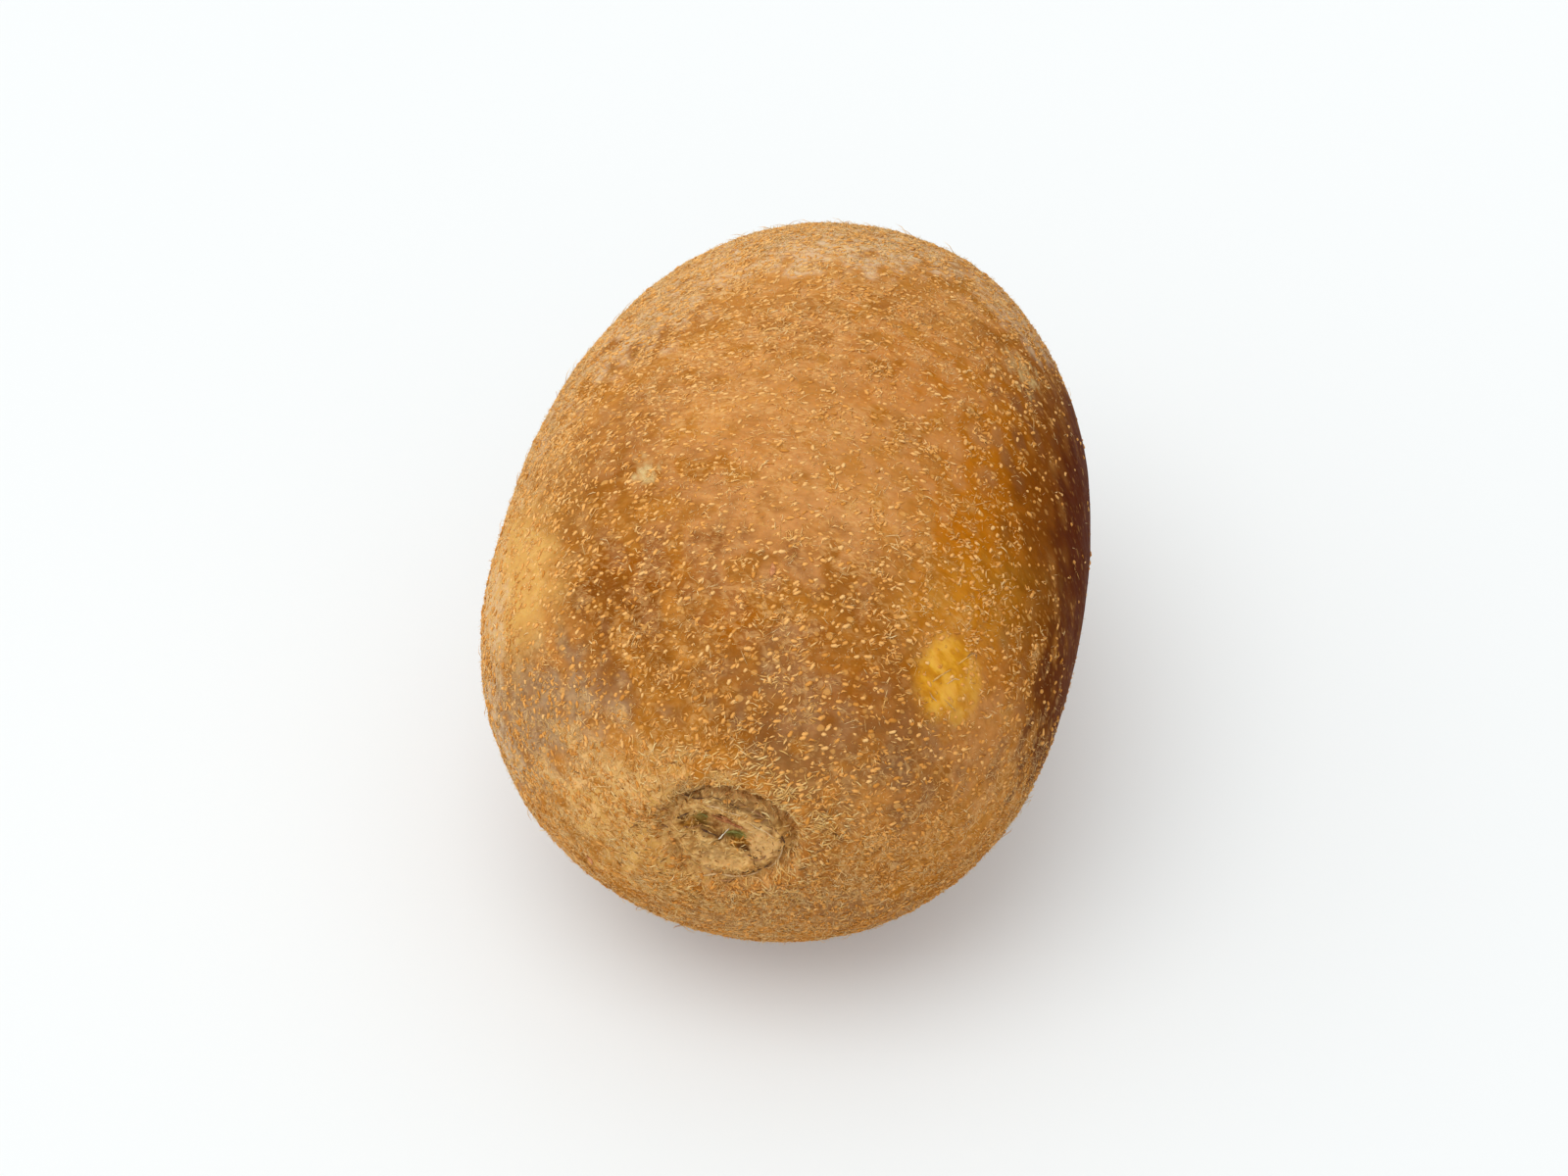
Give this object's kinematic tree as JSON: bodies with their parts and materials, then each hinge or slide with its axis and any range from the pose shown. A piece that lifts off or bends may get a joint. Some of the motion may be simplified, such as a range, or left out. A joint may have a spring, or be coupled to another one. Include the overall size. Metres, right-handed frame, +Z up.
{
  "type": "kiwi fruit",
  "caption": "Whole unpeeled kiwi fruit with brown skin and fine short hairs, a corky stem scar at one end and a dried blossom nub at the other, lying on its side.",
  "frame": {"origin": "middle of the bounding box's underside, on the surface that the fruit lies on", "axes": "+Y along the long axis towards the blossom end, so the stem scar faces -Y; +Z up"},
  "size_m": [0.049, 0.0666, 0.0464],
  "materials": {
    "kiwi_skin": "satin brown fruit skin with short pale hairs"
  },
  "bodies": {
    "root": {"kiwi_fruit": "kiwi_skin"}
  },
  "joints": []
}
